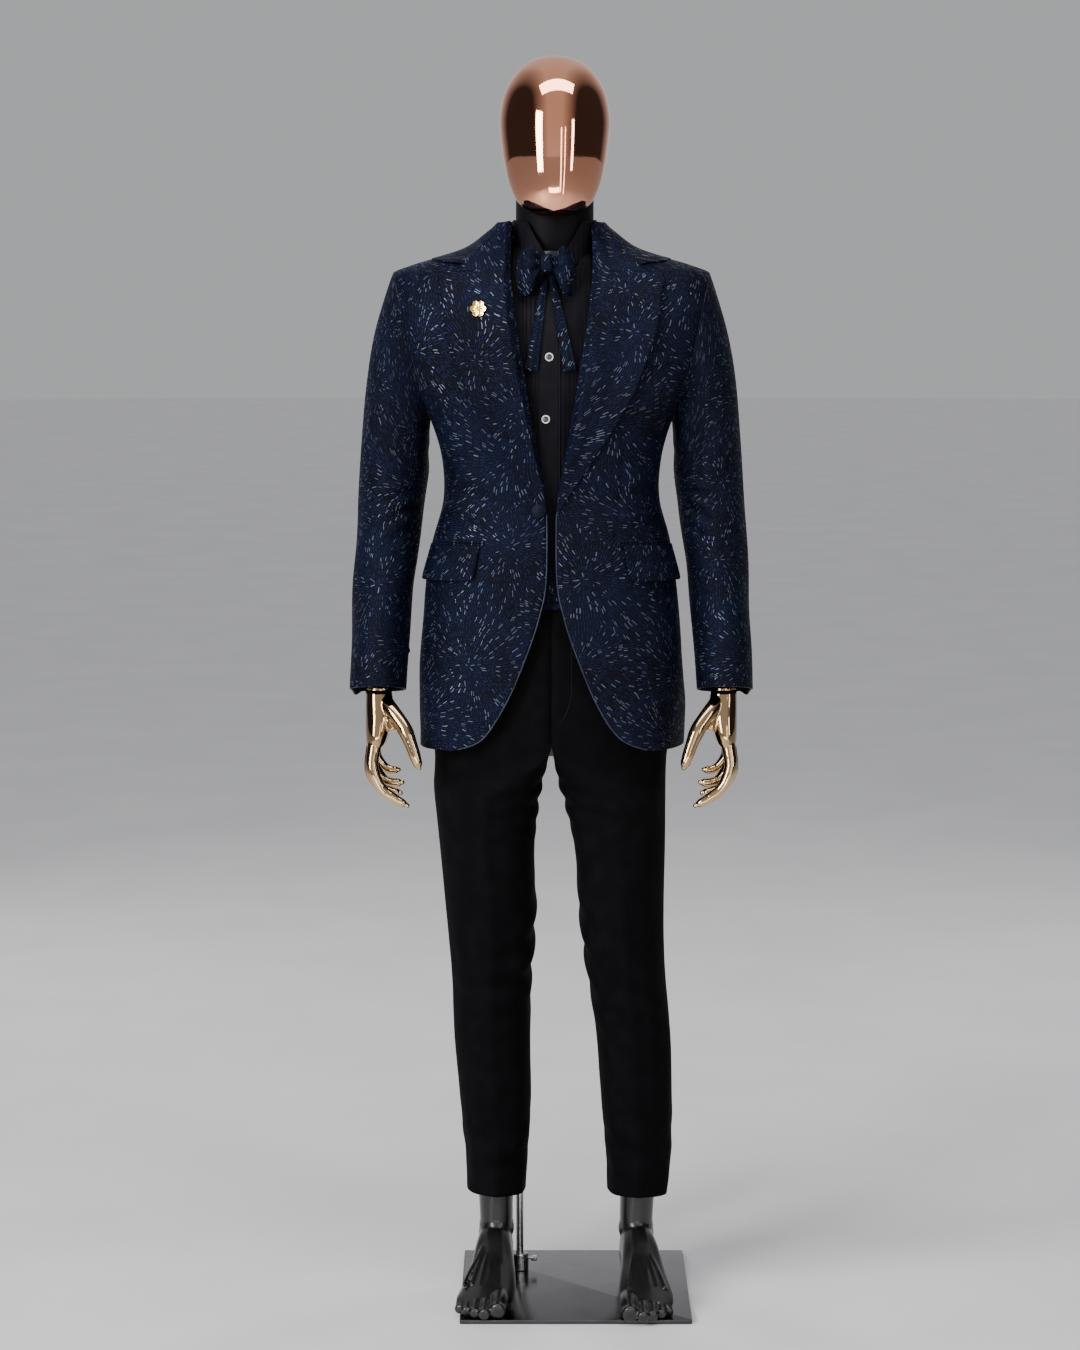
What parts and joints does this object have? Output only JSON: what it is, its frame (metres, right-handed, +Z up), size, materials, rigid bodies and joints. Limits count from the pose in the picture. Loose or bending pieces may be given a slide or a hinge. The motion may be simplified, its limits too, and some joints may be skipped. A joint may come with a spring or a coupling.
{
  "type": "full body mannequin",
  "caption": "Full body display mannequin with an egg head, in a brocade dinner jacket, pleated shirt and black trousers, on a square steel base with a calf rod.",
  "frame": {"origin": "middle of the base plate's underside, on the floor", "axes": "+Z up, the figure faces -Y, +X is the figure's left hand side"},
  "size_m": [0.608, 0.375, 1.8865],
  "materials": {
    "polished_steel": "polished sheet steel and bright turned steel",
    "rose_gold_chrome": "rose gold mirror plating",
    "dark_gold_chrome": "dark gold mirror plating",
    "black_gloss_shell": "black gloss lacquer on a moulded shell",
    "black_shirting": "fine black cotton, pleated",
    "black_wool": "black wool suiting",
    "navy_brocade": "navy jacquard with silver-blue starburst threads",
    "pearl_stud": "pearl ring with a dark centre",
    "gold_pin": "polished gold plate"
  },
  "bodies": {
    "base": {"base_plate": "polished_steel", "base_bolt": "polished_steel", "rod_collar": "polished_steel", "support_rod": "polished_steel"},
    "clamp": {"clamp_screw": "polished_steel"},
    "torso": {"bow_knot": "navy_brocade", "bow_loop_left": "navy_brocade", "bow_loop_right": "navy_brocade", "bow_tail_left": "navy_brocade", "bow_tail_right": "navy_brocade", "breast_welt": "navy_brocade", "calf_socket": "polished_steel", "cummerbund": "navy_brocade", "head_spigot": "polished_steel", "hip_shell": "black_gloss_shell", "jacket_back": "navy_brocade", "jacket_button": "navy_brocade", "jacket_collar": "navy_brocade", "jacket_front_left": "navy_brocade", "jacket_front_right": "navy_brocade", "lapel_left": "navy_brocade", "lapel_pin": "gold_pin", "lapel_right": "navy_brocade", "left_leg": "black_gloss_shell", "left_shoulder_lock": "polished_steel", "leg_lock": "polished_steel", "neck": "black_gloss_shell", "pocket_flap_left": "navy_brocade", "pocket_flap_right": "navy_brocade", "right_leg": "black_gloss_shell", "right_shoulder_lock": "polished_steel", "shirt_body": "black_shirting", "shirt_collar": "black_shirting", "shirt_stud_lower": "pearl_stud", "shirt_stud_upper": "pearl_stud", "torso_shell": "black_gloss_shell", "trousers": "black_wool", "waist_lock_lower": "polished_steel", "waist_lock_upper": "polished_steel"},
    "head": {"head_shell": "rose_gold_chrome", "head_socket": "polished_steel"},
    "right_arm": {"right_arm": "black_gloss_shell", "right_arm_lock": "polished_steel", "right_wrist_lock": "polished_steel", "right_sleeve": "navy_brocade"},
    "right_hand": {"right_hand": "dark_gold_chrome"},
    "left_arm": {"left_arm": "black_gloss_shell", "left_arm_lock": "polished_steel", "left_wrist_lock": "polished_steel", "left_sleeve": "navy_brocade"},
    "left_hand": {"left_hand": "dark_gold_chrome"}
  },
  "joints": [
    {"name": "figure_lift", "type": "slide", "parent": "base", "child": "torso", "axis": [0, 0, 1], "range_m": [0, 0.095]},
    {"name": "clamp_screw_turn", "type": "hinge", "parent": "base", "child": "clamp", "pos_m": [-0.086, 0.078, 0.0244], "axis": [1, 0, 0], "continuous": true},
    {"name": "head_turn", "type": "hinge", "parent": "torso", "child": "head", "pos_m": [-0.032, 0.004, 1.712], "axis": [0, 0, 1], "range_deg": [-90, 90]},
    {"name": "right_arm_swing", "type": "hinge", "parent": "torso", "child": "right_arm", "pos_m": [-0.2445, 0, 1.455], "axis": [-0.9703, 0, -0.2419], "range_deg": [-3, 35]},
    {"name": "right_hand_turn", "type": "hinge", "parent": "right_arm", "child": "right_hand", "pos_m": [-0.297, -0.046, 0.952], "axis": [-0.0512, -0.2132, -0.9757], "range_deg": [-8, 40]},
    {"name": "left_arm_swing", "type": "hinge", "parent": "torso", "child": "left_arm", "pos_m": [0.1705, 0, 1.455], "axis": [-0.9703, 0, 0.2419], "range_deg": [-3, 35]},
    {"name": "left_hand_turn", "type": "hinge", "parent": "left_arm", "child": "left_hand", "pos_m": [0.223, -0.046, 0.952], "axis": [0.0512, -0.2132, -0.9757], "range_deg": [-40, 8]}
  ]
}
